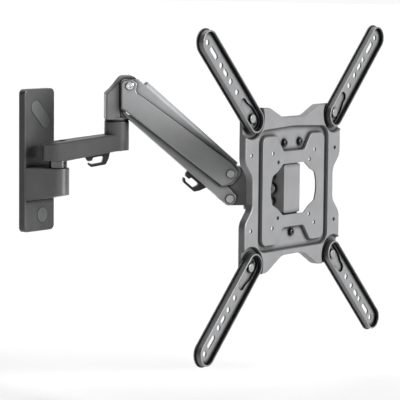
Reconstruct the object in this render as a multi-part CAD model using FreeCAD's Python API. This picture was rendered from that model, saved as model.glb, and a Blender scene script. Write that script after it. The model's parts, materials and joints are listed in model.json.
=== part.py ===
import FreeCAD, Part
import math
import os

# Full motion TV wall mount.  Millimetres, +Z up.
# Origin: centre of the wall plate's back face.  The wall is the plane Y = 0,
# the room is on the -Y side, and +X is to the right for someone facing the wall.

# --- wall plate and bracket ---------------------------------------------------
WALL_W = 62.0
WALL_H = 194.0
WALL_T = 10.0
WALL_SKIN = 3.0
WALL_CORNER_R = 7.0
SLOT_CAP_AT = (1.5, 62.5)
SLOT_CAP_R = 10.0
SLOT_CAP_HALF_LENGTH = 13.5
ROUND_CAP_AT = (5.5, -75.0)
ROUND_CAP_R = 10.8
PIVOT_Y = -43.0
BRACKET_TOP = -8.5
BRACKET_BOTTOM = -54.0
BRACKET_HALF_W = 29.5
BRACKET_R = 15.0
PIVOT_PIN_R = 7.0
BRACKET_SCREWS = [(-17.0, -18.0), (17.0, -18.0), (-17.0, -43.0), (17.0, -43.0)]
BUSH_T = 2.0
RUN = 0.05
GAP = 0.4
LOOSE = 0.3

# --- link arm -------------------------------------------------------------------
ARM_YAW = 45.0
LINK_LENGTH = 79.0
LINK_BOTTOM = 2.0
LINK_H = 23.8
LINK_RISE = 12.5
LINK_ROOT_R = 22.0
LINK_TIP_R = 16.8
LINK_UNDER_SLOPE = 10.4
LINK_CLIP_F = 36.0
ARM_CLIP_A = 116.0
CLIP_HALF_W = 5.5
ELBOW_TOP = 55.0
ELBOW_BOTTOM = 17.0
SPINDLE_R = 7.0

# --- post and parallel arms --------------------------------------------------------
POST_BOTTOM = 57.5
POST_BACK = 16.0
POST_HALF_W = 16.0
TONGUE_HALF_W = 14.0
FORK_HALF_GAP = 9.0
UPPER_PIN_F = 15.2
UPPER_PIN_Z = 103.4
PIN_SPACING = 34.5
ARM_LENGTH = 182.5
ARM_FALL = 40.8
CHANNEL_HALF_GAP = 14.5
CHANNEL_T = 2.5
SHELL_HALF_GAP = 17.6
SHELL_T = 4.4
CHEEK_STEP = 1.6
ROOF_T = 5.5
SHELL_TOP = 20.0
PIN_R = 5.0
CAP_R = 5.3
CAP_T = 1.6

# --- gas spring ------------------------------------------------------------------
SPRING_PIN_A = 150.0
ROD_PIN_DROP = 18.5
SPRING_LEAN = 6.25
SPRING_PIN_R = 4.0
CYLINDER_R = 9.0
CYLINDER_LENGTH = 88.0
ROD_R = 3.5
EYE_HOLE_R = 5.8
BLOCK_PIN_R = 2.5
SCREW_BACK = 16.0
SCREW_R = 4.0
BOSS_WALL = 1.0

# --- head ------------------------------------------------------------------------
SWIVEL_F = 36.2
HEAD_TOP = 8.4
HEAD_BOTTOM = -43.8
HEAD_BARREL_R = 14.0
SWIVEL_PIN_R = 6.0
LUG_T = 6.0

# --- plate -----------------------------------------------------------------------
PLATE_BEHIND_SWIVEL = 66.0
PLATE_BELOW_UPPER_PIN = 17.8
SHEET = 2.0
PRESS = 5.0
PRESS_SLOPE = 2.0
RIM_DEPTH = 10.0
TILT_BEHIND_PLATE = 23.0
TILT_HALF_GAP = 16.6
TILT_T = 2.4
VESA_HOLE_R = 2.75
PLATE_SCREWS = [(-18.2, 62.6), (18.2, 62.6), (0.0, -59.3)]
TILT_BOLT_R = 4.0
TILT_SLOT_R = 17.0
TILT_HALF_TURN = 13.0
SLOT_HALF_W = 2.8
M5_R = 2.5

# --- extension arms ---------------------------------------------------------------
ARM_BOLT = 98.5
ARM_END = 200.0
EXT_HALF_W = 16.0
EXT_WALL = 2.0
EXT_RIM = 5.5
ARM_BOLT_R = 3.0
LOCK_SCREW_R = 2.0
LOCK_AT = -10.0
ARM_HOLES = (51.0, 71.0, 101.0)
LIP = 2.0

# --- worked out from the above ------------------------------------------------------
YAW = math.radians(ARM_YAW)
FALL = math.radians(ARM_FALL)
ELBOW = (LINK_LENGTH * math.sin(YAW), PIVOT_Y - LINK_LENGTH * math.cos(YAW))
HEAD_F = UPPER_PIN_F + ARM_LENGTH * math.cos(FALL)
HEAD_Z = UPPER_PIN_Z - ARM_LENGTH * math.sin(FALL)
SWIVEL = (ELBOW[0] + (HEAD_F + SWIVEL_F) * math.sin(YAW),
          ELBOW[1] - (HEAD_F + SWIVEL_F) * math.cos(YAW))
PLATE = (SWIVEL[0], SWIVEL[1] - PLATE_BEHIND_SWIVEL, HEAD_Z - PLATE_BELOW_UPPER_PIN)


# ------------------------------- helpers ------------------------------------------
def vec(x, y, z):
    return FreeCAD.Vector(x, y, z)


def box(x0, x1, y0, y1, z0, z1):
    return Part.makeBox(x1 - x0, y1 - y0, z1 - z0, vec(x0, y0, z0))


def rod_x(r, x0, x1, y, z):
    return Part.makeCylinder(r, x1 - x0, vec(x0, y, z), vec(1, 0, 0))


def rod_y(r, y0, y1, x, z):
    return Part.makeCylinder(r, y1 - y0, vec(x, y0, z), vec(0, 1, 0))


def rod_z(r, z0, z1, x=0.0, y=0.0):
    return Part.makeCylinder(r, z1 - z0, vec(x, y, z0), vec(0, 0, 1))


def ring_z(r_out, r_in, z0, z1, x=0.0, y=0.0):
    return rod_z(r_out, z0, z1, x, y).cut(rod_z(r_in, z0 - 1, z1 + 1, x, y))


def hex_hole(flats, depth, at, direction):
    """A hexagonal prism for a socket, starting at a point and going along a direction."""
    radius = flats / math.sqrt(3)
    corners = [vec(radius * math.cos(math.radians(60 * k)), radius * math.sin(math.radians(60 * k)), 0)
               for k in range(7)]
    prism = Part.Face(Part.makePolygon(corners)).extrude(vec(0, 0, depth))
    prism.Placement = FreeCAD.Placement(at, FreeCAD.Rotation(vec(0, 0, 1), direction))
    return prism


def loop(points):
    """A closed outline in a plane from (a, b, corner radius), with each corner rounded."""
    count = len(points)
    edges = []
    ends = []
    for k in range(count):
        a, b, radius = points[k]
        here = vec(a, b, 0)
        back = vec(points[k - 1][0], points[k - 1][1], 0) - here
        ahead = vec(points[(k + 1) % count][0], points[(k + 1) % count][1], 0) - here
        back.normalize()
        ahead.normalize()
        turn = back.getAngle(ahead)
        if radius <= 0 or turn > math.pi - 1e-4:
            ends.append((here, here, None))
            continue
        reach = radius / math.tan(turn / 2)
        middle = back + ahead
        middle.normalize()
        arc_mid = here + middle * (radius / math.sin(turn / 2) - radius)
        ends.append((here + back * reach, here + ahead * reach, arc_mid))
    for k in range(count):
        start, stop, arc_mid = ends[k]
        if arc_mid is not None:
            edges.append(Part.Arc(start, arc_mid, stop).toShape())
        following = ends[(k + 1) % count][0]
        if (following - stop).Length > 1e-5:
            edges.append(Part.makeLine(stop, following))
    return Part.Face(Part.Wire(edges))


def upright(face, y0, y1):
    """Extrude an outline given in (x, z) from y0 to y1."""
    solid = face.extrude(vec(0, 0, y1 - y0))
    solid.rotate(vec(0, 0, 0), vec(1, 0, 0), 90)
    solid.translate(vec(0, y1, 0))
    return solid


def flat(face, z0, z1):
    """Extrude an outline given in (x, y) from z0 to z1."""
    solid = face.extrude(vec(0, 0, z1 - z0))
    solid.translate(vec(0, 0, z0))
    return solid


def side(face, x0, x1):
    """Extrude an outline given in (forward, z) across x, where forward is -Y."""
    solid = face.extrude(vec(0, 0, x1 - x0))
    solid.rotate(vec(0, 0, 0), vec(1, 0, 0), 90)
    solid.rotate(vec(0, 0, 0), vec(0, 0, 1), -90)
    solid.translate(vec(x1, 0, 0))
    return solid


def grown(face, by):
    return face.makeOffset2D(by)


def stadium(half_w, a0, a1):
    """A slot outline along the first axis, with round ends centred at a0 and a1."""
    return loop([(a0 - half_w, -half_w, half_w * 0.999), (a1 + half_w, -half_w, half_w * 0.999),
                 (a1 + half_w, half_w, half_w * 0.999), (a0 - half_w, half_w, half_w * 0.999)])


def softened(solid, radius, keep):
    """Fillet the edges that the test picks."""
    edges = [edge for edge in solid.Edges if keep(edge)]
    return solid.makeFillet(radius, edges)


def spread(solids):
    return Part.makeCompound(solids)


def save(name, shape):
    os.makedirs("parts", exist_ok=True)
    shape.exportStep("parts/" + name + ".step")
    volume = sum(solid.Volume for solid in shape.Solids)
    print(name, "solids", len(shape.Solids), "valid", shape.isValid(), "volume", round(volume))


def on_link(shape):
    """From the arm's own frame, forward along -Y, to the wall pivot."""
    placed = shape.copy()
    placed.rotate(vec(0, 0, 0), vec(0, 0, 1), ARM_YAW)
    placed.translate(vec(0, PIVOT_Y, 0))
    return placed


def on_elbow(shape):
    placed = shape.copy()
    placed.rotate(vec(0, 0, 0), vec(0, 0, 1), ARM_YAW)
    placed.translate(vec(ELBOW[0], ELBOW[1], 0))
    return placed


def along_arm(shape):
    """From a frame with forward along the arm and its pin at the origin, to the upper rear pin."""
    placed = shape.copy()
    placed.rotate(vec(0, 0, 0), vec(1, 0, 0), ARM_FALL)
    placed.translate(vec(0, -UPPER_PIN_F, UPPER_PIN_Z))
    return on_elbow(placed)


def along_lower(shape):
    placed = shape.copy()
    placed.rotate(vec(0, 0, 0), vec(1, 0, 0), ARM_FALL)
    placed.translate(vec(0, -UPPER_PIN_F, UPPER_PIN_Z - PIN_SPACING))
    return on_elbow(placed)


def at_head(shape):
    """From a frame with the upper front pin at the origin."""
    placed = shape.copy()
    placed.translate(vec(0, -HEAD_F, HEAD_Z))
    return on_elbow(placed)


def at_swivel(shape):
    """From a frame facing the room, with the swivel axis at the origin."""
    placed = shape.copy()
    placed.translate(vec(SWIVEL[0], SWIVEL[1], PLATE[2]))
    return placed


def at_plate(shape):
    """From the plate's frame: its front face at Y = 0 and its centre at the origin."""
    placed = shape.copy()
    placed.translate(vec(*PLATE))
    return placed


# ------------------------------- wall side ------------------------------------------
def slot_outline(half_w, half_length):
    face = stadium(half_w, -half_length, half_length)
    face.rotate(vec(0, 0, 0), vec(0, 0, 1), -45)
    face.translate(vec(SLOT_CAP_AT[0], SLOT_CAP_AT[1], 0))
    return face


def wall_plate():
    half_w = WALL_W / 2
    half_h = WALL_H / 2
    outline = loop([(-half_w, -half_h, WALL_CORNER_R), (half_w, -half_h, WALL_CORNER_R),
                    (half_w, half_h, WALL_CORNER_R), (-half_w, half_h, WALL_CORNER_R)])
    plate = upright(outline, -WALL_T, 0)
    plate = softened(plate, 1.8, lambda e: e.BoundBox.YMax < -WALL_T + 0.1)
    hollow = upright(grown(outline, -WALL_SKIN), -WALL_T + WALL_SKIN + 1.0, 1)
    pads = [upright(slot_outline(SLOT_CAP_R + 3, SLOT_CAP_HALF_LENGTH - 3.5), -WALL_T, 1),
            rod_y(ROUND_CAP_R + 3, -WALL_T, 1, *ROUND_CAP_AT),
            box(-26, 26, -WALL_T, 1, BRACKET_BOTTOM + 2, BRACKET_TOP - 2),
            box(-1.5, 1.5, -WALL_T, 1, -half_h, half_h)]
    for pad in pads:
        hollow = hollow.cut(pad)
    plate = plate.cut(hollow)
    plate = plate.cut(upright(slot_outline(SLOT_CAP_R, SLOT_CAP_HALF_LENGTH), -WALL_T - 1, -WALL_T + 4))
    plate = plate.cut(upright(slot_outline(4.2, SLOT_CAP_HALF_LENGTH - 3), -WALL_T - 1, 1))
    plate = plate.cut(rod_y(ROUND_CAP_R, -WALL_T - 1, -WALL_T + 4, *ROUND_CAP_AT))
    plate = plate.cut(rod_y(4.2, -WALL_T - 1, 1, *ROUND_CAP_AT))
    for x, z in BRACKET_SCREWS:
        plate = plate.cut(rod_y(M5_R + 0.1, -WALL_T - 1, 1, x, z))
        plate = plate.cut(rod_y(5.0, -4.2, 1, x, z))
    return plate


def slot_cap():
    """A shallow snap cap with a domed edge over the upper wall bolt slot."""
    cap = upright(slot_outline(SLOT_CAP_R - 0.15, SLOT_CAP_HALF_LENGTH), -WALL_T - 0.6, -WALL_T + 2.0)
    cap = softened(cap, 1.2, lambda e: e.BoundBox.YMax < -WALL_T - 0.5)
    return cap.cut(upright(slot_outline(SLOT_CAP_R - 2.0, SLOT_CAP_HALF_LENGTH), -WALL_T + 0.9, -WALL_T + 3))


def round_cap():
    """A round snap cap with a dished front."""
    cap = rod_y(ROUND_CAP_R - 0.15, -WALL_T - 0.6, -WALL_T + 2.0, *ROUND_CAP_AT)
    cap = softened(cap, 1.0, lambda e: e.BoundBox.YMax < -WALL_T - 0.5)
    dish = Part.makeSphere(40, vec(ROUND_CAP_AT[0], -WALL_T - 0.6 - 39.2, ROUND_CAP_AT[1]))
    return cap.cut(dish)


def wall_bracket():
    """A cast bracket: full width at the plate, running tangent into the pivot barrel."""
    reach = -PIVOT_Y - WALL_T
    base = BRACKET_HALF_W
    span = math.hypot(base, reach)
    slope = math.asin(BRACKET_R / span) + math.atan2(reach, base)
    length = math.sqrt(span * span - BRACKET_R * BRACKET_R)
    tip_x = base - length * math.cos(slope)
    tip_y = -WALL_T - length * math.sin(slope)
    outline = loop([(-base, -WALL_T, 0), (base, -WALL_T, 0), (tip_x, tip_y, 0), (-tip_x, tip_y, 0)])
    body = flat(outline, BRACKET_BOTTOM, BRACKET_TOP)
    body = body.fuse(rod_z(BRACKET_R, BRACKET_BOTTOM, BRACKET_TOP, 0, PIVOT_Y)).removeSplitter()
    front = -PIVOT_Y + BRACKET_R + 1
    under = side(loop([(WALL_T - 1, BRACKET_BOTTOM - 1, 0), (front, BRACKET_BOTTOM - 1, 0),
                       (front, BRACKET_BOTTOM + 9.5, 0), (WALL_T - 1, BRACKET_BOTTOM, 0)]), -40, 40)
    body = body.cut(under)
    body = softened(body, 1.6,
                    lambda e: e.BoundBox.ZMin > BRACKET_TOP - 0.01 and e.BoundBox.YMin < -WALL_T - 2)
    body = body.cut(rod_z(PIVOT_PIN_R, BRACKET_BOTTOM + 12, BRACKET_TOP + 1, 0, PIVOT_Y))
    for x, z in BRACKET_SCREWS:
        body = body.cut(rod_y(M5_R, -WALL_T - 13, -WALL_T + 1, x, z))
    return body


def bracket_screws():
    screws = []
    for x, z in BRACKET_SCREWS:
        screw = rod_y(M5_R, -WALL_T - 12, -1.0, x, z).fuse(rod_y(4.6, -4.0, -1.0, x, z)).removeSplitter()
        screws.append(screw.cut(hex_hole(3.0, 2.0, vec(x, -0.9, z), vec(0, -1, 0))))
    return spread(screws)


def pivot_pin():
    pin = rod_z(PIVOT_PIN_R, BRACKET_BOTTOM + 12, LINK_BOTTOM + 19)
    pin = pin.makeChamfer(0.8, [e for e in pin.Edges if e.BoundBox.ZMin > LINK_BOTTOM + 18.5])
    pin.translate(vec(0, PIVOT_Y, 0))
    return pin


def pivot_sleeve():
    """The collar between the bracket and the link."""
    sleeve = ring_z(12.2, PIVOT_PIN_R + 0.02, BRACKET_TOP + 0.02, LINK_BOTTOM - GAP, 0, PIVOT_Y)
    return softened(sleeve, 0.8, lambda e: e.BoundBox.XLength > 22 and e.BoundBox.ZLength < 0.01)


# ------------------------------- link arm ---------------------------------------------
def hull(r0, r1, length):
    """A plan outline round two circles, the first at the origin and the second forward."""
    lean = math.asin((r0 - r1) / length)
    x0, y0 = r0 * math.cos(lean), -r0 * math.sin(lean)
    x1, y1 = r1 * math.cos(lean), -length - r1 * math.sin(lean)
    wire = Part.Wire([Part.makeLine(vec(x0, y0, 0), vec(x1, y1, 0)),
                      Part.Arc(vec(x1, y1, 0), vec(0, -length - r1, 0), vec(-x1, y1, 0)).toShape(),
                      Part.makeLine(vec(-x1, y1, 0), vec(-x0, y0, 0)),
                      Part.Arc(vec(-x0, y0, 0), vec(0, r0, 0), vec(x0, y0, 0)).toShape()])
    return Part.Face(wire)


def link_arm():
    plan = hull(LINK_ROOT_R, LINK_TIP_R, LINK_LENGTH)
    bar = flat(plan, LINK_BOTTOM - 2, ELBOW_TOP)
    top = LINK_BOTTOM + LINK_H
    far = LINK_LENGTH + 30
    rise = LINK_RISE / LINK_LENGTH
    under = math.tan(math.radians(LINK_UNDER_SLOPE))
    profile = side(loop([(-30, LINK_BOTTOM, 0), (8, LINK_BOTTOM, 30),
                         (far, LINK_BOTTOM + under * (far - 8), 0),
                         (far, top + rise * far, 0), (-30, top - rise * 30 + 2.0, 0)]), -40, 40)
    bar = bar.common(profile)
    bar = softened(bar, 3.0, lambda e: e.BoundBox.ZMin > top - 6 and e.Length > 20)
    barrel = rod_z(LINK_TIP_R, ELBOW_BOTTOM - 1.5, ELBOW_TOP, 0, -LINK_LENGTH)
    barrel = softened(barrel, 1.5, lambda e: e.BoundBox.ZMin > ELBOW_TOP - 0.1)
    body = bar.fuse(barrel).removeSplitter()
    body = body.cut(rod_z(PIVOT_PIN_R + BUSH_T, LINK_BOTTOM - 1, LINK_BOTTOM + 19.6))
    body = body.cut(rod_z(11, LINK_BOTTOM + 21.0, top + 10))
    return body.cut(rod_z(SPINDLE_R + BUSH_T, 0, ELBOW_TOP + 1, 0, -LINK_LENGTH))


def link_bush():
    return ring_z(PIVOT_PIN_R + BUSH_T, PIVOT_PIN_R + RUN, LINK_BOTTOM, LINK_BOTTOM + 19.2)


def link_cap():
    """The cap over the pivot end of the link."""
    cap = rod_z(10.9, LINK_BOTTOM + 21.1, LINK_BOTTOM + LINK_H + 0.8)
    return softened(cap, 1.0, lambda e: e.BoundBox.ZMin > LINK_BOTTOM + LINK_H + 0.7)


def cable_clip():
    """A snap clip under an arm: a wing that curls back into a hook, open towards the wall."""
    outline = loop([(0, 0, 0), (34, 0, 0), (30, -9, 14), (25, -15.5, 3), (5, -15.5, 3), (1.0, -11.2, 1.4),
                    (2.8, -9.4, 1.2), (7.0, -12.2, 1.5), (20.5, -12.2, 2), (24.5, -3.3, 2.5), (9.5, -3.3, 2),
                    (8.0, -7.0, 1.2), (1.8, -7.0, 1.7), (0, -3.5, 1.5)])
    return side(outline, -CLIP_HALF_W, CLIP_HALF_W)


def link_clip():
    """The clip lies against the sloping underside of the link."""
    clip = cable_clip()
    clip.rotate(vec(0, 0, 0), vec(1, 0, 0), -LINK_UNDER_SLOPE)
    fall = math.tan(math.radians(LINK_UNDER_SLOPE)) * (LINK_CLIP_F - 8)
    clip.translate(vec(-4.0, -LINK_CLIP_F, LINK_BOTTOM + fall))
    return clip


def elbow_bush():
    return ring_z(SPINDLE_R + BUSH_T, SPINDLE_R + RUN, ELBOW_BOTTOM + 1, ELBOW_TOP - 0.2, 0, -LINK_LENGTH)


# ------------------------------- post ---------------------------------------------------
def post():
    top = UPPER_PIN_Z + 13.0
    pin_f, pin_z = UPPER_PIN_F, UPPER_PIN_Z
    wide = side(loop([(-POST_BACK, POST_BOTTOM, 0), (3.5, POST_BOTTOM, 0), (3.5, pin_z + 7, 3),
                      (-POST_BACK, pin_z - 11, 3)]), -POST_HALF_W, POST_HALF_W)
    wide = softened(wide, 2.5,
                    lambda e: e.BoundBox.YMin > -3.4 and e.BoundBox.XLength < 0.01 and e.Length > 4)
    tongue = side(loop([(-POST_BACK + 1.5, POST_BOTTOM + 3, 0), (pin_f + 4, POST_BOTTOM, 4),
                        (pin_f + 12, POST_BOTTOM + 3, 6), (pin_f + 14, pin_z, 12), (pin_f + 8, top, 10),
                        (pin_f - 10, top, 8), (-POST_BACK + 1.5, pin_z - 11.5, 3)]),
                  -TONGUE_HALF_W, TONGUE_HALF_W)
    collar = rod_z(LINK_TIP_R - 0.4, POST_BOTTOM, POST_BOTTOM + 2.4)
    body = wide.fuse(tongue).fuse(collar).removeSplitter()
    slot_back = pin_f - SCREW_BACK - 6
    low_pin_z = pin_z - PIN_SPACING
    boss = rod_x(PIN_R + BOSS_WALL, -FORK_HALF_GAP - 1, FORK_HALF_GAP + 1, -pin_f, low_pin_z)
    behind = box(-FORK_HALF_GAP, FORK_HALF_GAP, -pin_f - 40, -slot_back,
                 low_pin_z + PIN_R + BOSS_WALL, pin_z - 9)
    ahead = box(-FORK_HALF_GAP, FORK_HALF_GAP, -pin_f - 40, -pin_f, POST_BOTTOM - 1, pin_z - 9).cut(boss)
    body = body.cut(behind).cut(ahead)
    body = body.cut(box(-FORK_HALF_GAP, FORK_HALF_GAP, -pin_f - 40, -pin_f - 2, pin_z - 12, top + 5))
    body = body.cut(rod_x(PIN_R + RUN, -40, 40, -pin_f, pin_z))
    body = body.cut(rod_x(PIN_R + RUN, -40, 40, -pin_f, pin_z - PIN_SPACING))
    body = body.cut(rod_z(SCREW_R + RUN, POST_BOTTOM + 9, top + 5, 0, -pin_f + SCREW_BACK))
    body = body.cut(rod_z(SPINDLE_R, POST_BOTTOM - 1, POST_BOTTOM + 9.5))
    return body


def elbow_spindle():
    spindle = rod_z(SPINDLE_R, ELBOW_BOTTOM + 2, POST_BOTTOM + 9)
    return spindle.cut(rod_z(3.0, ELBOW_BOTTOM + 1, ELBOW_BOTTOM + 16))


def elbow_washer():
    return ring_z(LINK_TIP_R - 0.6, SPINDLE_R + 0.05, ELBOW_TOP + GAP, POST_BOTTOM - 0.02)


def elbow_retainer():
    """A screw and wide washer that keep the spindle in the link from below."""
    screw = rod_z(3.0, ELBOW_BOTTOM - 3, ELBOW_BOTTOM + 15)
    head = rod_z(8.2, ELBOW_BOTTOM - 3, ELBOW_BOTTOM + 0.5)
    body = screw.fuse(head).removeSplitter()
    return body.cut(hex_hole(5.0, 3.0, vec(0, 0, ELBOW_BOTTOM - 3.1), vec(0, 0, 1)))


def adjusting_screw():
    """The screw that sets the spring's lift, reached from the top of the post."""
    y = -UPPER_PIN_F + SCREW_BACK
    screw = rod_z(SCREW_R, POST_BOTTOM + 9.5, UPPER_PIN_Z + 1.0, 0, y)
    return screw.cut(hex_hole(4.0, 5.0, vec(0, y, UPPER_PIN_Z + 1.1), vec(0, 0, -1)))


def adjusting_block():
    """A block that rides on the adjusting screw and carries the spring's rear pin."""
    y = -UPPER_PIN_F
    z = UPPER_PIN_Z - ROD_PIN_DROP
    half = FORK_HALF_GAP - GAP
    core = box(-half, half, y + SCREW_BACK - 5.2, y + SCREW_BACK + 5.6, z - 5, z + 5)
    cheeks = box(-half, half, y - 3.0, y + SCREW_BACK, z - 3.5, z + 3.5)
    cheeks = cheeks.cut(box(-4.2, 4.2, y - 10, y + SCREW_BACK - 5.2, z - 9, z + 9))
    body = core.fuse(cheeks).removeSplitter()
    body = body.cut(rod_z(SCREW_R + RUN, z - 10, z + 10, 0, y + SCREW_BACK))
    return body.fuse(rod_x(BLOCK_PIN_R, -half, half, y, z)).removeSplitter()


# ------------------------------- parallel arms --------------------------------------------
def cross_pin(half_length, forward, hexed):
    """A pin across an arm with a round cap at each end, with a socket in the caps if asked."""
    tip = half_length + CAP_T
    pin = rod_x(PIN_R, -half_length, half_length, 0, 0).fuse(rod_x(CAP_R, -tip, -half_length, 0, 0))
    pin = pin.fuse(rod_x(CAP_R, half_length, tip, 0, 0)).removeSplitter()
    pin = softened(pin, 0.8, lambda e: e.BoundBox.XLength < 0.01 and abs(e.BoundBox.XMin) > tip - 0.01)
    if hexed:
        pin = pin.cut(hex_hole(4.5, 2.4, vec(-tip - 0.1, 0, 0), vec(1, 0, 0)))
        pin = pin.cut(hex_hole(4.5, 2.4, vec(tip + 0.1, 0, 0), vec(-1, 0, 0)))
    pin.translate(vec(0, -forward, 0))
    return pin


def shell_outline():
    """The upper arm seen from the side, tapering towards the head."""
    rear = [(-11.7, 9.0), (-11.7, -32.0)]
    lean_c, lean_s = math.cos(FALL), math.sin(FALL)
    rear = [(f * lean_c - z * lean_s, f * lean_s + z * lean_c) for f, z in rear]
    return loop([(rear[0][0], rear[0][1], 6), (rear[1][0], rear[1][1], 4), (17, -29.5, 3),
                 (ARM_LENGTH + 3.3, -20.2, 3), (ARM_LENGTH + 11.5, -9, 6), (ARM_LENGTH + 11.5, 9, 9),
                 (ARM_LENGTH + 3, 18.2, 5), (17, SHELL_TOP, 6), (4, 15, 8)])


def shell_cheek():
    """The raised flat on each side of the upper arm, which takes in both pins."""
    return loop([(-12.0, -2.6, 5), (11.9, -30.0, 4), (17, -28.5, 3), (ARM_LENGTH + 2.6, -19.3, 3),
                 (ARM_LENGTH + 8.8, -8.5, 6), (ARM_LENGTH + 8.8, 8.2, 8), (ARM_LENGTH - 8, 11.8, 9),
                 (28, 0.4, 14), (12, -1.5, 5), (5.5, 9.5, 5), (-2, 8.0, 4)])


def arm_shell():
    """The upper arm: cheeks joined by a sloping, rounded top, open underneath."""
    outer = SHELL_HALF_GAP + SHELL_T
    flank = outer - CHEEK_STEP
    crown = SHELL_HALF_GAP - 0.6
    outline = side(shell_outline(), -flank, flank)
    section = upright(loop([(-flank, -60, 0), (flank, -60, 0), (flank, -4, 9), (crown, SHELL_TOP, 9),
                            (-crown, SHELL_TOP, 9), (-flank, -4, 9)]), -260, 60)
    body = softened(outline, 1.2, lambda e: e.BoundBox.XLength < 0.01).common(section)
    cheeks = side(shell_cheek(), -outer, outer)
    cheeks = softened(cheeks, 1.1, lambda e: e.BoundBox.XLength < 0.01)
    body = body.fuse(cheeks)
    roof = SHELL_TOP - ROOF_T
    hollow = upright(loop([(-SHELL_HALF_GAP, -80, 0), (SHELL_HALF_GAP, -80, 0), (SHELL_HALF_GAP, roof, 7),
                           (-SHELL_HALF_GAP, roof, 7)]), -260, 60)
    body = body.cut(hollow)
    rear_mouth = box(-SHELL_HALF_GAP, SHELL_HALF_GAP, -17, 60, 0, 60)
    front_mouth = box(-SHELL_HALF_GAP, SHELL_HALF_GAP, -ARM_LENGTH - 40, -ARM_LENGTH + 1, -60, 60)
    body = body.cut(rear_mouth).cut(front_mouth)
    for a in (0.0, ARM_LENGTH):
        body = body.cut(rod_x(PIN_R, -40, 40, -a, 0))
    return along_arm(body)


def lower_arm():
    """The lower arm: an upright channel that closes the shell from below."""
    outer = CHANNEL_HALF_GAP + CHANNEL_T
    length = ARM_LENGTH
    flanges = side(loop([(-8, -8, 7.9), (14, -8.6, 10), (length, -8.8, 8.7), (length + 8.8, -8.8, 8.7),
                         (length + 8.8, 8.8, 8.7), (length - 12, 11, 10), (14, 12, 10), (-8, 8, 7.9)]),
                   -outer, outer)
    flanges = softened(flanges, 1.4, lambda e: e.BoundBox.XLength < 0.01)
    inner = side(loop([(-60, -6.2, 0), (length + 60, -6.2, 0), (length + 60, 60, 0), (-60, 60, 0)]),
                 -CHANNEL_HALF_GAP, CHANNEL_HALF_GAP)
    ends = box(-CHANNEL_HALF_GAP, CHANNEL_HALF_GAP, -12.5, 40, -40, 60)
    ends = ends.fuse(box(-CHANNEL_HALF_GAP, CHANNEL_HALF_GAP, -length - 40, -length + 12.5, -40, 60))
    body = flanges.cut(inner).cut(ends)
    for a in (0.0, length):
        body = body.cut(rod_x(PIN_R, -40, 40, -a, 0))
    return along_lower(body)


def gas_cylinder():
    body = rod_y(CYLINDER_R, 8, CYLINDER_LENGTH, 0, 0)
    body = softened(body, 1.5, lambda e: e.BoundBox.YLength < 0.01)
    eye = rod_x(7.5, -5, 5, 0, 0).fuse(box(-5, 5, 0, 12, -5, 5))
    body = body.fuse(eye).removeSplitter()
    body = body.cut(rod_x(SPRING_PIN_R, -10, 10, 0, 0))
    body = body.cut(rod_y(ROD_R + RUN, 14, CYLINDER_LENGTH + 5, 0, 0))
    return tilt_spring(body)


def tilt_spring(shape):
    placed = shape.copy()
    placed.rotate(vec(0, 0, 0), vec(1, 0, 0), -SPRING_LEAN)
    placed.translate(vec(0, -SPRING_PIN_A, 0))
    return along_arm(placed)


def rod_reach():
    """The distance from the cylinder pin to the rod's rear pin at rest."""
    drop_f = SPRING_PIN_A * math.cos(FALL)
    drop_z = SPRING_PIN_A * math.sin(FALL) - ROD_PIN_DROP
    return math.hypot(drop_f, drop_z)


def gas_rod():
    reach = rod_reach()
    body = rod_y(ROD_R, 52.0, reach - EYE_HOLE_R - 1.0, 0, 0)
    eye = rod_x(EYE_HOLE_R + 1.4, -3.6, 3.6, reach, 0)
    body = body.fuse(eye).removeSplitter()
    return tilt_spring(body.cut(rod_x(EYE_HOLE_R, -10, 10, reach, 0)))


def arm_clip():
    clip = cable_clip()
    clip.translate(vec(0, -ARM_CLIP_A, -8.85))
    return along_lower(clip)


# ------------------------------- head -------------------------------------------------------
def head_block():
    half = TONGUE_HALF_W
    front = SWIVEL_F + HEAD_BARREL_R
    outline = loop([(-7.0, HEAD_TOP, 6), (-7.0, HEAD_BOTTOM, 6), (front + 5, HEAD_BOTTOM, 0),
                    (front + 5, HEAD_TOP, 0)])
    plan = loop([(-half, 20, 0), (-half, -front, half * 0.999), (half, -front, half * 0.999), (half, 20, 0)])
    body = side(outline, -half, half).common(flat(plan, HEAD_BOTTOM - 1, HEAD_TOP + 1))
    body = body.cut(rod_x(PIN_R + RUN, -40, 40, 0, 0))
    body = body.cut(rod_x(PIN_R + LOOSE, -40, 40, 0, -PIN_SPACING))
    body = body.cut(rod_z(SWIVEL_PIN_R + BUSH_T, HEAD_BOTTOM - 1, HEAD_TOP + 1, 0, -SWIVEL_F))
    return at_head(body)


def head_bush():
    return at_head(ring_z(SWIVEL_PIN_R + BUSH_T, SWIVEL_PIN_R + RUN, HEAD_BOTTOM + 0.2, HEAD_TOP - 0.2,
                          0, -SWIVEL_F))


def swivel_levels():
    """The top and bottom of the head block, measured from the plate's centre."""
    offset = PLATE_BELOW_UPPER_PIN
    return HEAD_BOTTOM + offset, HEAD_TOP + offset


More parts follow.
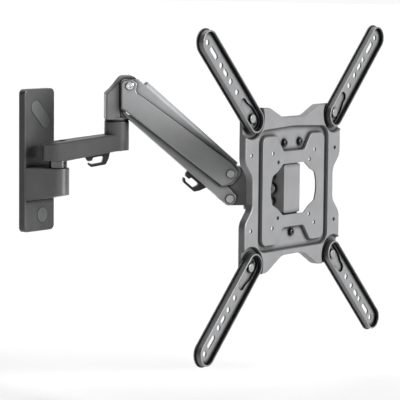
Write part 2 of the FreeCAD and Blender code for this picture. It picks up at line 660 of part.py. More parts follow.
def swivel_knuckle():
    """A clevis round the head block, with a nose that carries the tilt bolt."""
    low, high = swivel_levels()
    nose_y = -PLATE_BEHIND_SWIVEL + TILT_BEHIND_PLATE
    half = TILT_HALF_GAP - GAP
    rear = HEAD_BARREL_R + 3.0
    nose = -nose_y + 7.0
    foot, crown = low - LUG_T - GAP, high + LUG_T + GAP
    profile = loop([(rear, foot, 0), (rear + 10, foot, 6), (nose - 12, -22.0, 6), (nose, -22.0, 4),
                    (nose, 22.0, 4), (nose - 12, 22.0, 6), (rear + 10, crown, 6), (rear, crown, 0)])
    body = side(profile, -half, half)
    for z0 in (low - LUG_T - GAP, high + GAP):
        lug = rod_z(HEAD_BARREL_R, z0, z0 + LUG_T)
        lug = lug.fuse(box(-HEAD_BARREL_R, HEAD_BARREL_R, -HEAD_BARREL_R - 4, 0, z0, z0 + LUG_T))
        body = body.fuse(lug)
    body = body.removeSplitter()
    waist_y = (nose_y - HEAD_BARREL_R) / 2 - 1.0
    for z0, z1 in ((-21.0, -9.0), (9.0, 21.0)):
        window = box(-half - 1, half + 1, waist_y - 1.0, -HEAD_BARREL_R - 6.0, z0, z1)
        body = body.cut(window)
    body = body.cut(rod_z(SWIVEL_PIN_R, low - 20, high + 20))
    body = body.cut(rod_x(TILT_BOLT_R + RUN, -40, 40, nose_y, 0))
    for z in (-TILT_SLOT_R, TILT_SLOT_R):
        body = body.cut(rod_x(M5_R, -40, 40, nose_y, z))
    return at_swivel(body)


def swivel_pin():
    low, high = swivel_levels()
    pin = rod_z(SWIVEL_PIN_R, low - LUG_T - GAP, high + LUG_T + GAP + 0.5)
    cap = rod_z(9.0, high + LUG_T + GAP + 0.02, high + LUG_T + GAP + 3.2)
    cap = softened(cap, 1.2, lambda e: e.BoundBox.ZMin > high + LUG_T + GAP + 3.1)
    pin = pin.fuse(cap).removeSplitter()
    return at_swivel(pin.cut(hex_hole(6.0, 2.2, vec(0, 0, high + LUG_T + GAP + 3.3), vec(0, 0, -1))))


def tilt_bracket():
    """A tall channel behind the plate.  Its flanges carry the tilt bolt and two curved slots."""
    outer = TILT_HALF_GAP + TILT_T
    y_web = PRESS + SHEET + LOOSE
    y_bolt = TILT_BEHIND_PLATE
    web = upright(loop([(-outer, -70, 4), (outer, -70, 4), (outer, 72, 4), (-outer, 72, 4)]),
                  y_web, y_web + TILT_T)
    cheek = loop([(-y_web, -46, 0), (-y_web, 46, 0), (-y_web - 6, 46, 3), (-y_bolt - 8, 27, 8),
                  (-y_bolt - 8, -27, 8), (-y_web - 6, -46, 3)])
    body = web
    for x0 in (-outer, TILT_HALF_GAP):
        body = body.fuse(side(cheek, x0, x0 + TILT_T))
    panel = upright(loop([(-outer, -33, 3), (outer, -33, 3), (outer, 33, 3), (-outer, 33, 3)]),
                    3.3, y_web + 1)
    body = body.fuse(panel).removeSplitter()
    body = body.cut(upright(loop([(-outer + 2, -31, 2), (outer - 2, -31, 2), (outer - 2, 31, 2),
                                  (-outer + 2, 31, 2)]), 5.6, y_web + TILT_T + 1))
    body = body.cut(rod_x(TILT_BOLT_R, -40, 40, y_bolt, 0))
    for sign in (-1, 1):
        body = body.cut(curved_slot(y_bolt, 0.0, TILT_SLOT_R, 90.0 * sign, TILT_HALF_TURN, SLOT_HALF_W))
    for x, z in PLATE_SCREWS:
        body = body.cut(rod_y(M5_R, 0, 40, x, z))
    return at_plate(body)


def curved_slot(y, z, radius, middle, half_turn, half_w):
    """A slot on an arc about an axis along X, as a chain of holes and an arc band."""
    band = Part.makeCylinder(radius + half_w, 80, vec(-40, y, z), vec(1, 0, 0))
    band = band.cut(Part.makeCylinder(radius - half_w, 80, vec(-40, y, z), vec(1, 0, 0)))
    reach = radius * 3
    corners = [(0.0, 0.0)]
    for turn in (middle - half_turn, middle, middle + half_turn):
        corners.append((reach * math.cos(math.radians(turn)), reach * math.sin(math.radians(turn))))
    wedge = Part.Face(Part.makePolygon([vec(-40, y + a, z + b) for a, b in corners + corners[:1]]))
    slot = band.common(wedge.extrude(vec(80, 0, 0)))
    for turn in (middle - half_turn, middle + half_turn):
        a = radius * math.cos(math.radians(turn))
        b = radius * math.sin(math.radians(turn))
        slot = slot.fuse(rod_x(half_w, -40, 40, y + a, z + b))
    return slot


def tilt_bolt():
    """The tilt pivot, with a socket head on the left and a lock nut on the right."""
    outer = TILT_HALF_GAP + TILT_T
    y = TILT_BEHIND_PLATE
    bolt = rod_x(TILT_BOLT_R, -outer - 1, outer + 7.5, y, 0)
    head = rod_x(7.0, -outer - 4.5, -outer - 0.05, y, 0)
    head = softened(head, 0.8, lambda e: e.BoundBox.XMax < -outer - 4.4)
    bolt = bolt.fuse(head).removeSplitter()
    return at_plate(bolt.cut(hex_hole(5.0, 3.0, vec(-outer - 4.6, y, 0), vec(1, 0, 0))))


def tilt_nut():
    outer = TILT_HALF_GAP + TILT_T
    nut = hex_hole(13.0, 6.5, vec(outer + 0.05, TILT_BEHIND_PLATE, 0), vec(1, 0, 0))
    return at_plate(nut.cut(rod_x(TILT_BOLT_R, 0, 60, TILT_BEHIND_PLATE, 0)))


def tilt_lock_screws():
    """Four screws with washers through the curved slots into the knuckle's nose."""
    outer = TILT_HALF_GAP + TILT_T
    screws = []
    for sign in (-1, 1):
        for z in (-TILT_SLOT_R, TILT_SLOT_R):
            screw = rod_x(M5_R, 6.0, outer + 2, TILT_BEHIND_PLATE, z)
            screw = screw.fuse(rod_x(5.6, outer + GAP, outer + GAP + 1.0, TILT_BEHIND_PLATE, z))
            head = rod_x(4.2, outer + GAP + 1.0, outer + GAP + 3.6, TILT_BEHIND_PLATE, z)
            screw = screw.fuse(head).removeSplitter()
            screw = screw.cut(hex_hole(3.0, 2.0, vec(outer + GAP + 3.7, TILT_BEHIND_PLATE, z), vec(-1, 0, 0)))
            if sign < 0:
                screw.rotate(vec(0, TILT_BEHIND_PLATE, z), vec(0, 0, 1), 180)
            screws.append(screw)
    return at_plate(spread(screws))


# ------------------------------- plate --------------------------------------------------------
def plate_outline():
    """The right half from the top centre down, then the left half mirrored."""
    right = [(27, 97.5, 24), (58, 111.5, 24), (114, 111.5, 13), (114, 40, 18), (97, 21, 18),
             (97, -21, 18), (114, -40, 18), (114, -109.5, 13), (61, -109.5, 24), (25, -89, 30)]
    left = [(-x, z, r) for x, z, r in reversed(right)]
    return loop(right + left)


def ring_outline():
    """The outer edge of the recessed ring, slightly bowed at the top and the bottom."""
    return loop([(-82, 80, 15), (0, 83.6, 160), (82, 80, 15), (82, -80, 15), (-82, -80, 15)])


def bone_outline():
    """The raised centre that carries the inner holes, with a dip at the top and the bottom."""
    quarter = [(25, 51, 9), (41, 72.5, 9), (73.5, 72.5, 9)]
    right = quarter + [(x, -z, r) for x, z, r in reversed(quarter)]
    left = [(-x, -z, r) for x, z, r in right]
    return loop(right + left)


def window_outline():
    quarter = [(25.5, 34.5, 5), (38.5, 25, 8), (50.5, 19.5, 6)]
    right = quarter + [(57, 0, 42)] + [(x, -z, r) for x, z, r in reversed(quarter)]
    left = [(-x, -z, r) for x, z, r in right]
    return loop(right + left)


def corner_pocket():
    """The pocket outline that one extension arm lies in, for the upper right corner."""
    half = 26.0
    face = loop([(-half, -half, half * 0.999), (-half, half, half * 0.999), (60, half, 0), (60, -half, 0)])
    face.rotate(vec(0, 0, 0), vec(0, 0, 1), 45)
    face.translate(vec(ARM_BOLT, ARM_BOLT, 0))
    return face


def at_corners(shape):
    """Copies of an upper right corner shape at all four corners, turned about Y."""
    copies = []
    for sx, sz in ((1, 1), (-1, 1), (-1, -1), (1, -1)):
        copy = shape.copy()
        if sx < 0:
            copy = copy.mirror(vec(0, 0, 0), vec(1, 0, 0))
        if sz < 0:
            copy = copy.mirror(vec(0, 0, 0), vec(0, 0, 1))
        copies.append(copy)
    return copies


def sloped(outline, y0, y1, spread_by):
    """A solid between an outline at y1 and the same outline grown outwards at y0."""
    near = upright(grown(outline, spread_by), y0, y0 + 1).Faces
    far = upright(outline, y1, y1 + 1).Faces
    wires = []
    for faces, level in ((near, y0), (far, y1)):
        flats = [f for f in faces if f.BoundBox.YLength < 1e-6 and abs(f.BoundBox.YMin - level) < 1e-6]
        wires.append(flats[0].OuterWire)
    return Part.makeLoft(wires, True, True)


def pressed(outline):
    """A tray pressed back from the sheet: its solid and its cavity, with sloping walls."""
    tray = upright(grown(outline, SHEET + 1.0), 0.0, PRESS + SHEET)
    cavity = sloped(outline, 0.0, PRESS, PRESS_SLOPE)
    mouth = upright(grown(outline, PRESS_SLOPE), -1.0, 0.0)
    return tray, cavity, mouth


def vesa_plate():
    outline = plate_outline()
    full = upright(outline, 0, RIM_DEPTH)
    full = softened(full, 2.0, lambda e: e.BoundBox.YMax < 0.01)
    body = full.cut(upright(grown(outline, -SHEET), SHEET, RIM_DEPTH + 1))
    bounds = upright(outline, -1, RIM_DEPTH + 1)
    tray, cavity, mouth = pressed(ring_outline())
    body = body.fuse(tray).cut(cavity).cut(mouth)
    bone = bone_outline()
    raised = sloped(bone, PRESS, 0.0, PRESS_SLOPE)
    raised = softened(raised, 0.9, lambda e: e.BoundBox.YMax < 0.01)
    body = body.fuse(raised)
    body = body.cut(upright(grown(bone, -SHEET), SHEET, PRESS + SHEET + 1))
    tray, cavity, mouth = pressed(corner_pocket())
    for copy in at_corners(tray):
        body = body.fuse(copy.common(bounds))
    for copy in at_corners(cavity.fuse(mouth)):
        body = body.cut(copy)
    body = body.removeSplitter()
    body = body.cut(upright(window_outline(), -5, 30))
    for x, z, r in plate_holes():
        body = body.cut(rod_y(r, -5, 20, x, z))
    for x, z in PLATE_SCREWS:
        body = body.cut(plate_level_slot(x, z))
    for copy in at_corners(pocket_holes()):
        body = body.cut(copy)
    return at_plate(body)


def plate_holes():
    holes = []
    for half_x, half_z in ((37.5, 37.5), (50.0, 50.0), (100.0, 50.0)):
        for sx in (-1, 1):
            for sz in (-1, 1):
                holes.append((sx * half_x, sz * half_z, VESA_HOLE_R))
    return holes


def plate_level_slot(x, z):
    """A short slot about the plate's centre, so the plate can be levelled on its screws."""
    angle = math.degrees(math.atan2(z, x))
    slot = curved_slot(0.0, 0.0, math.hypot(x, z), angle, 3.4, SLOT_HALF_W)
    slot.rotate(vec(0, 0, 0), vec(0, 0, 1), 90)
    slot = slot.mirror(vec(0, 0, 0), vec(1, 0, 0))
    return slot


def plate_screws():
    screws = []
    for x, z in PLATE_SCREWS:
        screw = rod_y(M5_R, PRESS - 1, PRESS + SHEET + TILT_T + 2, x, z)
        screw = screw.fuse(rod_y(5.6, PRESS - GAP - 1.0, PRESS - GAP, x, z))
        head = rod_y(4.5, PRESS - GAP - 3.6, PRESS - GAP - 1.0, x, z)
        head = softened(head, 1.2, lambda e: e.BoundBox.YMax < PRESS - GAP - 3.5)
        screw = screw.fuse(head).removeSplitter()
        screws.append(screw.cut(hex_hole(3.0, 2.0, vec(x, PRESS - GAP - 3.7, z), vec(0, 1, 0))))
    return at_plate(spread(screws))


# ------------------------------- extension arms ---------------------------------------------------
def arm_frame(shape):
    """From an arm frame, bolt at the origin and outward along +X, to the upper right corner."""
    placed = shape.copy()
    placed.rotate(vec(0, 0, 0), vec(0, 1, 0), -45)
    placed.translate(vec(ARM_BOLT, 0, ARM_BOLT))
    return placed


def pocket_holes():
    """The bolt hole and the lock screw's arc slot in one pocket."""
    bolt = rod_y(ARM_BOLT_R, -5, 20, 0, 0)
    lock = curved_slot(0.0, 0.0, -LOCK_AT, 180.0, 47.0, LOCK_SCREW_R + LOOSE)
    lock.rotate(vec(0, 0, 0), vec(0, 0, 1), 90)
    lock = lock.mirror(vec(0, 0, 0), vec(1, 0, 0))
    return arm_frame(bolt.fuse(lock))


def pad_outline():
    """The pressed seat round the bolt, narrower at its outer end."""
    return loop([(-15.5, -10.5, 10), (12, -10.5, 12), (24, -6.8, 12), (36.5, -6.8, 6.7), (36.5, 6.8, 6.7),
                 (24, 6.8, 12), (12, 10.5, 12), (-15.5, 10.5, 10)])


def extension_arm():
    """A pressed channel with a rim round it, a back lip, slots, holes and a seat at the bolt."""
    reach = (ARM_END - ARM_BOLT) * math.sqrt(2)
    outer = stadium(EXT_HALF_W, -4.0, reach)
    inner = stadium(EXT_HALF_W - EXT_WALL, -4.0, reach)
    lip = stadium(EXT_HALF_W + LIP, -4.0, reach)
    back = PRESS - GAP
    body = upright(outer, -EXT_RIM, back)
    body = softened(body, 0.9, lambda e: e.BoundBox.YMax < -EXT_RIM + 0.01)
    body = body.fuse(upright(lip, back - 1.6, back))
    body = body.cut(upright(inner, -EXT_RIM - 1, 0))
    body = body.cut(upright(inner, SHEET, back + 1))
    pad = pad_outline()
    seat = upright(grown(pad, 1.6), 0, back)
    body = body.fuse(seat).removeSplitter()
    body = body.cut(upright(pad, -1, back - SHEET))
    for a in ARM_HOLES + (reach,):
        body = body.cut(rod_y(VESA_HOLE_R + 1.2, -10, 10, a, 0))
    body = body.cut(upright(stadium(3.4, 84.5, 90.0), -10, 10))
    body = body.cut(upright(stadium(3.6, 117.0, 130.5), -10, 10))
    body = body.cut(rod_y(ARM_BOLT_R + RUN, -10, 10, 0, 0))
    return body.cut(rod_y(LOCK_SCREW_R, -10, 10, LOCK_AT, 0))


def arm_bolt():
    head_y = PRESS - GAP - SHEET - GAP
    bolt = rod_y(ARM_BOLT_R, head_y - 1, PRESS + SHEET + 6.5, 0, 0)
    head = rod_y(6.0, head_y - 3.2, head_y, 0, 0)
    head = softened(head, 1.0, lambda e: e.BoundBox.YMax < head_y - 3.1)
    return bolt.fuse(head).removeSplitter()


def arm_nut():
    nut = hex_hole(10.0, 5.0, vec(0, PRESS + SHEET + 0.05, 0), vec(0, 1, 0))
    return nut.cut(rod_y(ARM_BOLT_R, 0, 30, 0, 0))


def arm_lock_screw():
    """The small screw that clamps one arm in its pocket's curved slot."""
    back = PRESS - GAP
    screw = rod_y(LOCK_SCREW_R, back - SHEET - 1.5, PRESS + SHEET + 4.5, LOCK_AT, 0)
    return screw.cut(hex_hole(2.0, 2.0, vec(LOCK_AT, back - SHEET - 1.6, 0), vec(0, 1, 0)))


def extension_arms():
    arms = at_corners(arm_frame(extension_arm()))
    locks = at_corners(arm_frame(arm_lock_screw()))
    corners = ("upper_right", "upper_left", "lower_left", "lower_right")
    for corner, arm, lock in zip(corners, arms, locks):
        save("extension_arm_" + corner, at_plate(arm))
        save("arm_lock_screw_" + corner, at_plate(lock))
    save("arm_bolts", at_plate(spread(at_corners(arm_frame(arm_bolt())))))
    save("arm_nuts", at_plate(spread(at_corners(arm_frame(arm_nut())))))


# ------------------------------- all the pieces ------------------------------------------------------
def main():
    save("wall_plate", wall_plate())
    save("wall_slot_cap", slot_cap())
    save("wall_round_cap", round_cap())
    save("wall_bracket", wall_bracket())
    save("bracket_screws", bracket_screws())
    save("wall_pivot_pin", pivot_pin())
    save("wall_pivot_sleeve", pivot_sleeve())
    save("link_arm", on_link(link_arm()))
    save("link_bush", on_link(link_bush()))
    save("link_cap", on_link(link_cap()))
    save("link_cable_clip", on_link(link_clip()))
    save("elbow_bush", on_link(elbow_bush()))
    save("post", on_elbow(post()))
    save("elbow_spindle", on_elbow(elbow_spindle()))
    save("elbow_washer", on_elbow(elbow_washer()))
    save("elbow_retainer", on_elbow(elbow_retainer()))
    save("adjusting_screw", on_elbow(adjusting_screw()))
    save("adjusting_block", on_elbow(adjusting_block()))
    save("arm_shell", arm_shell())
    save("lower_arm", lower_arm())
    save("gas_cylinder", gas_cylinder())
    save("gas_rod", gas_rod())
    shell_outer = SHELL_HALF_GAP + SHELL_T
    channel_outer = CHANNEL_HALF_GAP + CHANNEL_T
    save("upper_rear_pin", along_arm(cross_pin(shell_outer, 0.0, True)))
    save("upper_front_pin", along_arm(cross_pin(shell_outer, ARM_LENGTH, False)))
    save("spring_pin", along_arm(rod_x(SPRING_PIN_R, -SHELL_HALF_GAP, SHELL_HALF_GAP, -SPRING_PIN_A, 0)))
    save("lower_rear_pin", along_lower(rod_x(PIN_R, -channel_outer, channel_outer, 0, 0)))
    save("lower_front_pin", along_lower(cross_pin(channel_outer, ARM_LENGTH, False)))
    save("arm_cable_clip", arm_clip())
    save("head_block", head_block())
    save("head_bush", head_bush())
    save("swivel_knuckle", swivel_knuckle())
    save("swivel_pin", swivel_pin())
    save("tilt_bracket", tilt_bracket())
    save("tilt_bolt", tilt_bolt())
    save("tilt_nut", tilt_nut())
    save("tilt_lock_screws", tilt_lock_screws())
    save("vesa_plate", vesa_plate())
    save("plate_screws", plate_screws())
    extension_arms()
    print("elbow", ELBOW, "head", HEAD_F, HEAD_Z, "swivel", SWIVEL, "plate", PLATE)


main()
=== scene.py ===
import json
import math

import bpy
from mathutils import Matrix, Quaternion, Vector


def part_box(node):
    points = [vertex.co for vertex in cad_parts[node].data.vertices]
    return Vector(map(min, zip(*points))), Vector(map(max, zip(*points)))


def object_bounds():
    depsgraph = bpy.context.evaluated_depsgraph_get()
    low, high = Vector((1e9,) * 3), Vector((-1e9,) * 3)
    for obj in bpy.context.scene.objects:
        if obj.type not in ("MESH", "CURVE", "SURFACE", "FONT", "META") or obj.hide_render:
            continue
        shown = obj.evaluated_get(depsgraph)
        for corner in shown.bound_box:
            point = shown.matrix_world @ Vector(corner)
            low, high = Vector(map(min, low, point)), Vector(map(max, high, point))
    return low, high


# Looks of a full motion TV wall mount.  Metres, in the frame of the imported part:
# the wall is the plane Y = 0, the screen side faces -Y, and +Z is up.

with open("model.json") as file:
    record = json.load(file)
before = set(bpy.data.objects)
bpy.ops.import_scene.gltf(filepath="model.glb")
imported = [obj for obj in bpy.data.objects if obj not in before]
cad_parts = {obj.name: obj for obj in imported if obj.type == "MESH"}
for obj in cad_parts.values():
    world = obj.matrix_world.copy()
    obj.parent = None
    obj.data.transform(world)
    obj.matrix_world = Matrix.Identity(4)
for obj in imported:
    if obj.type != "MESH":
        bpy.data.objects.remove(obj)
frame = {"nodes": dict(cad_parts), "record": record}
nodes = frame["nodes"]
cad_low, cad_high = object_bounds()

MM = 0.001

# Coatings: the same fine mottling and smears on every painted piece, and painted shade
# that darkens their corners and laps.
MOTTLE_SCALE = 38.0
SMEAR_SCALE = 85.0
GRAIN_STRENGTH = 0.35
CORNER_SHADE_REACH = 7.0 * MM
CORNER_SHADE_DARKEST, CORNER_SHADE_CLEAR = 0.70, 0.96   # openness at which the painted corner shade is darkest, and gone
PAINT_SPECULAR = 0.3
COAT_ROUGHNESS = 0.25

# Plated steel: turning marks drawn out across the axis.
MARK_SCALE = 60.0
MARK_STRETCH = (1.0, 1.0, 22.0)
MARK_HEIGHT = 0.02 * MM
MARK_STRENGTH = 0.25
PLATED_EDGE = 0.3 * MM

# The floor lies below the extension arms even when they hang straight down.
FLOOR_DROP = 0.065
FLOOR_HALF = 60.0
FLOOR_SCALE = 1.5
FLOOR_ROUGHNESS = 0.9
FLOOR_SPECULAR = 0.1

# Studio: a pale room that is brighter on one side, with two broad lights.
BRIGHT_SIDE = (0.85, 0.15, 0.45)
SIDE_START, SIDE_STOP = -0.6, 0.9
ROOM_DIM, ROOM_BRIGHT = 0.02, 0.40
BACKDROP = 0.96
FRONT_LIGHT = {"ray": (-0.30, 0.93, -0.20), "strength": 6.8, "width": 30}
TOP_LIGHT = {"ray": (-0.30, -0.35, -0.88), "strength": 1.8, "width": 70}

# Camera: from the left front, slightly above, through a long lens.
AZIMUTH = math.radians(53.51)
ELEVATION = math.radians(5.73)
ROLL = math.radians(0.52)
SENSOR_MM = 36.0
LENS_MM = 191.9
EYE_FROM_PLATE = (-2.383, -1.605, 0.270)


# ------------------------------- materials ----------------------------------------
def colour(value):
    """An RGBA colour from a grey or from three numbers."""
    if isinstance(value, (int, float)):
        return (value, value, value, 1.0)
    return (*value, 1.0)


class Shader:
    """A small helper that adds nodes to one material and joins them."""

    def __init__(self, name):
        self.material = bpy.data.materials.new(name)
        self.material.use_nodes = True
        self.tree = self.material.node_tree
        self.surface = self.tree.nodes["Principled BSDF"]
        self.place = self.add("ShaderNodeTexCoord").outputs["Object"]

    def add(self, kind, **settings):
        node = self.tree.nodes.new(kind)
        for key, value in settings.items():
            setattr(node, key, value)
        return node

    def join(self, output, target):
        self.tree.links.new(output, target)

    def noise(self, scale, detail=2.0, roughness=0.5, stretch=None):
        node = self.add("ShaderNodeTexNoise")
        node.inputs["Scale"].default_value = scale
        node.inputs["Detail"].default_value = detail
        node.inputs["Roughness"].default_value = roughness
        source = self.place
        if stretch is not None:
            mapping = self.add("ShaderNodeMapping")
            mapping.inputs["Scale"].default_value = stretch
            self.join(source, mapping.inputs["Vector"])
            source = mapping.outputs["Vector"]
        self.join(source, node.inputs["Vector"])
        return node.outputs["Fac"]

    def ramp(self, source, low, high, start=0.3, stop=0.7):
        """Map a 0 to 1 value onto two colours, or two greys for a plain value."""
        node = self.add("ShaderNodeValToRGB")
        node.color_ramp.elements[0].position = start
        node.color_ramp.elements[1].position = stop
        node.color_ramp.elements[0].color = colour(low)
        node.color_ramp.elements[1].color = colour(high)
        self.join(source, node.inputs["Fac"])
        return node.outputs["Color"]

    def bump(self, source, distance, strength, under):
        """Fine relief on top of the normals given by under."""
        node = self.add("ShaderNodeBump")
        node.inputs["Strength"].default_value = strength
        node.inputs["Distance"].default_value = distance
        self.join(source, node.inputs["Height"])
        self.join(under, node.inputs["Normal"])
        return node.outputs["Normal"]

    def rounded(self, radius):
        """Normals that round off every sharp edge."""
        node = self.add("ShaderNodeBevel", samples=6)
        node.inputs["Radius"].default_value = radius
        return node.outputs["Normal"]

    def painted_corner_shade(self, source, darkest):
        """Paint shade into a colour: darker in corners and under laps, where shade falls.
        """
        openness = self.add("ShaderNodeAmbientOcclusion", samples=8)
        openness.inputs["Distance"].default_value = CORNER_SHADE_REACH
        depth = self.add("ShaderNodeMapRange")
        depth.inputs["From Min"].default_value = CORNER_SHADE_DARKEST
        depth.inputs["From Max"].default_value = CORNER_SHADE_CLEAR
        depth.inputs["To Min"].default_value = darkest
        depth.inputs["To Max"].default_value = 1.0
        self.join(openness.outputs["AO"], depth.inputs["Value"])
        mixed = self.add("ShaderNodeMixRGB", blend_type="MULTIPLY")
        mixed.inputs["Fac"].default_value = 1.0
        self.join(source, mixed.inputs["Color1"])
        self.join(depth.outputs["Result"], mixed.inputs["Color2"])
        return mixed.outputs["Color"]


def coated(name, dark, light, rough, metallic, grain, height, coat=0.0,
           edge=0.5 * MM, corner_shade=0.35):
    """A surface with mottled colour, painted shade in its corners, uneven roughness and a
    fine grain in its normals.

    grain is the scale of the fine texture and height its depth, edge the radius that
    the edges seem to have, and the last argument how much colour the painted shade
    leaves in corners, 0 for black.
    """
    shader = Shader(name)
    surface = shader.surface
    mottle = shader.noise(MOTTLE_SCALE, 3.0, 0.55)
    # mottled colour with painted shade darkening its corners and laps
    mottle_and_shade = shader.painted_corner_shade(shader.ramp(mottle, dark, light), corner_shade)
    shader.join(mottle_and_shade, surface.inputs["Base Color"])
    smear = shader.noise(SMEAR_SCALE, 2.0, 0.6)
    shader.join(shader.ramp(smear, *rough), surface.inputs["Roughness"])
    fine = shader.noise(grain, 1.0, 0.5)
    normal = shader.bump(fine, height, GRAIN_STRENGTH, shader.rounded(edge))
    shader.join(normal, surface.inputs["Normal"])
    surface.inputs["Metallic"].default_value = metallic
    surface.inputs["Specular IOR Level"].default_value = PAINT_SPECULAR
    surface.inputs["Coat Weight"].default_value = coat
    surface.inputs["Coat Roughness"].default_value = COAT_ROUGHNESS
    return shader.material


def plated(name, dark, light, rough):
    """Plated steel with faint turning marks."""
    shader = Shader(name)
    surface = shader.surface
    marks = shader.noise(MARK_SCALE, 2.0, 0.5, MARK_STRETCH)
    shader.join(shader.ramp(marks, dark, light), surface.inputs["Base Color"])
    shader.join(shader.ramp(marks, *rough), surface.inputs["Roughness"])
    normal = shader.bump(marks, MARK_HEIGHT, MARK_STRENGTH, shader.rounded(PLATED_EDGE))
    shader.join(normal, surface.inputs["Normal"])
    surface.inputs["Metallic"].default_value = 1.0
    return shader.material


# Each coat darkens its corners and laps with painted shade, to black where the last
# argument is 0.0.
PRESSED = coated(
    "pressed_steel_paint", (0.140, 0.141, 0.144), (0.160, 0.161, 0.164), (0.34, 0.42),
    metallic=0.25, grain=1900.0, height=0.05 * MM, coat=0.15, corner_shade=0.0)
WALL_PAINT = coated(
    "wall_plate_paint", (0.044, 0.0445, 0.0455), (0.056, 0.0565, 0.0575), (0.32, 0.42),
    metallic=0.25, grain=1700.0, height=0.05 * MM, coat=0.2, corner_shade=0.0)
SHELL_PAINT = coated(
    "arm_shell_paint", (0.270, 0.272, 0.276), (0.300, 0.302, 0.306), (0.30, 0.38),
    metallic=0.25, grain=1500.0, height=0.05 * MM, coat=0.2, edge=0.6 * MM, corner_shade=0.0)
CAST = coated(
    "cast_metal_paint", (0.185, 0.186, 0.189), (0.215, 0.216, 0.219), (0.32, 0.42),
    metallic=0.25, grain=1500.0, height=0.07 * MM, coat=0.2, edge=0.8 * MM, corner_shade=0.0)
LINK_PAINT = coated(
    "link_paint", (0.090, 0.0905, 0.092), (0.108, 0.1085, 0.110), (0.30, 0.40),
    metallic=0.25, grain=1500.0, height=0.07 * MM, coat=0.2, edge=0.8 * MM, corner_shade=0.0)
BLACK = coated(
    "black_oxide", (0.014, 0.014, 0.015), (0.026, 0.026, 0.028), (0.22, 0.34),
    metallic=0.6, grain=1200.0, height=0.03 * MM, coat=0.4, edge=0.3 * MM)
PLASTIC = coated(
    "moulded_plastic", (0.070, 0.071, 0.073), (0.085, 0.086, 0.088), (0.42, 0.52),
    metallic=0.0, grain=2600.0, height=0.08 * MM, corner_shade=0.02)
CLIP = coated(
    "clip_plastic", (0.020, 0.020, 0.021), (0.030, 0.030, 0.032), (0.28, 0.40),
    metallic=0.0, grain=2600.0, height=0.05 * MM, coat=0.2)
NYLON = coated(
    "nylon", (0.020, 0.020, 0.021), (0.030, 0.030, 0.032), (0.40, 0.50),
    metallic=0.0, grain=1400.0, height=0.03 * MM)
CAP = coated(
    "pin_cap_plating", (0.44, 0.445, 0.455), (0.52, 0.525, 0.535), (0.30, 0.40),
    metallic=0.3, grain=900.0, height=0.02 * MM, coat=0.2, edge=0.4 * MM)
BOLT = coated(
    "dull_bolt_plating", (0.17, 0.172, 0.176), (0.22, 0.222, 0.226), (0.28, 0.38),
    metallic=0.5, grain=900.0, height=0.03 * MM, coat=0.2, edge=0.3 * MM, corner_shade=0.05)
BRIGHT = plated("bright_plating", (0.66, 0.67, 0.69), (0.78, 0.79, 0.81), (0.12, 0.22))
ZINC = plated("zinc_plating", (0.42, 0.43, 0.45), (0.54, 0.55, 0.57), (0.30, 0.42))
DARK_CHROME = plated("dark_chrome", (0.10, 0.10, 0.105), (0.14, 0.14, 0.145), (0.12, 0.20))

# A piece takes the look of its material slot, unless it is named under BY_NODE.
BY_SLOT = {
    "painted_steel": PRESSED,
    "painted_casting": CAST,
    "bright_steel": BRIGHT,
    "zinc_steel": ZINC,
    "black_steel": BLACK,
    "grey_plastic": PLASTIC,
    "nylon": NYLON,
}
BY_NODE = {
    "wall_plate": WALL_PAINT,
    "wall_bracket": LINK_PAINT,
    "wall_pivot_sleeve": DARK_CHROME,
    "link_arm": LINK_PAINT,
    "link_cable_clip": CLIP,
    "arm_shell": SHELL_PAINT,
    "lower_arm": SHELL_PAINT,
    "arm_cable_clip": CLIP,
    "upper_front_pin": CAP,
    "lower_front_pin": CAP,
    "arm_bolts": BOLT,
    "tilt_lock_screws": BOLT,
    "tilt_bolt": BOLT,
}
slots = {entry["node"]: entry["material_slot"] for entry in frame["record"]["subparts"]}
for name, node in nodes.items():
    look = BY_NODE.get(name, BY_SLOT[slots[name]])
    node.data.materials.clear()
    node.data.materials.append(look)


# ------------------------------- floor, light and camera --------------------------
def sun_light(name, ray, strength, width):
    """A broad, even light.  ray is the way it shines and width its angle in degrees."""
    light = bpy.data.lights.new(name, "SUN")
    light.energy = strength
    light.angle = math.radians(width)
    lamp = bpy.data.objects.new(name, light)
    lamp.rotation_mode = "QUATERNION"
    lamp.rotation_quaternion = Vector(ray).to_track_quat("-Z", "Y")
    bpy.context.scene.collection.objects.link(lamp)


def pale_floor(height):
    corners = [(x * FLOOR_HALF, y * FLOOR_HALF, height)
               for x, y in ((-1, -1), (1, -1), (1, 1), (-1, 1))]
    mesh = bpy.data.meshes.new("floor")
    mesh.from_pydata(corners, [], [(0, 1, 2, 3)])
    floor = bpy.data.objects.new("floor", mesh)
    bpy.context.scene.collection.objects.link(floor)
    shader = Shader("floor_paint")
    mottle = shader.noise(FLOOR_SCALE)
    shader.join(shader.ramp(mottle, 0.86, 0.88), shader.surface.inputs["Base Color"])
    shader.surface.inputs["Roughness"].default_value = FLOOR_ROUGHNESS
    shader.surface.inputs["Specular IOR Level"].default_value = FLOOR_SPECULAR
    mesh.materials.append(shader.material)


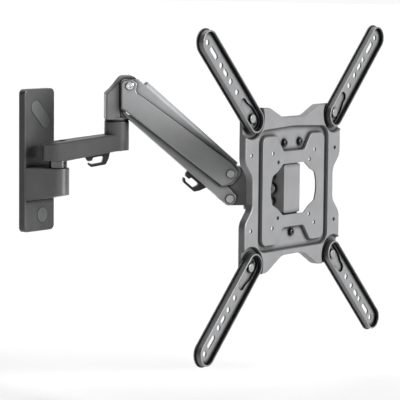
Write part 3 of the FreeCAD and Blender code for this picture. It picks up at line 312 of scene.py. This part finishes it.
def studio():
    """A room that lights the part from one side, seen as an even pale backdrop."""
    world = bpy.data.worlds.new("studio")
    bpy.context.scene.world = world
    world.use_nodes = True
    tree = world.node_tree
    backdrop = tree.nodes["Background"]
    place = tree.nodes.new("ShaderNodeTexCoord")
    toward = tree.nodes.new("ShaderNodeVectorMath")
    toward.operation = "DOT_PRODUCT"
    toward.inputs[1].default_value = BRIGHT_SIDE
    ramp = tree.nodes.new("ShaderNodeMapRange")
    ramp.inputs["From Min"].default_value = SIDE_START
    ramp.inputs["From Max"].default_value = SIDE_STOP
    ramp.inputs["To Min"].default_value = ROOM_DIM
    ramp.inputs["To Max"].default_value = ROOM_BRIGHT
    rays = tree.nodes.new("ShaderNodeLightPath")
    pick = tree.nodes.new("ShaderNodeMix")
    pick.data_type = "FLOAT"
    pick.inputs["B"].default_value = BACKDROP
    tree.links.new(place.outputs["Generated"], toward.inputs[0])
    tree.links.new(toward.outputs["Value"], ramp.inputs["Value"])
    tree.links.new(ramp.outputs["Result"], pick.inputs["A"])
    tree.links.new(rays.outputs["Is Camera Ray"], pick.inputs["Factor"])
    tree.links.new(pick.outputs["Result"], backdrop.inputs["Strength"])
    backdrop.inputs["Color"].default_value = colour(1.0)
    sun_light("front_sun", **FRONT_LIGHT)
    sun_light("top_sun", **TOP_LIGHT)


def camera():
    plate_low, plate_high = (Vector(corner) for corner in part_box("vesa_plate"))
    plate_front = (plate_low + plate_high) / 2
    plate_front.y = plate_low.y
    ahead = Vector((math.sin(AZIMUTH) * math.cos(ELEVATION),
                    math.cos(AZIMUTH) * math.cos(ELEVATION), -math.sin(ELEVATION)))
    lens = bpy.data.cameras.new("camera")
    lens.sensor_width = SENSOR_MM
    lens.lens = LENS_MM
    eye = bpy.data.objects.new("camera", lens)
    eye.location = plate_front + Vector(EYE_FROM_PLATE)
    eye.rotation_mode = "QUATERNION"
    level = ahead.to_track_quat("-Z", "Y")
    eye.rotation_quaternion = level @ Quaternion((0.0, 0.0, 1.0), ROLL)
    bpy.context.scene.collection.objects.link(eye)
    bpy.context.scene.camera = eye


pale_floor(cad_low.z - FLOOR_DROP)
studio()
camera()
bpy.context.scene.view_settings.view_transform = "Standard"
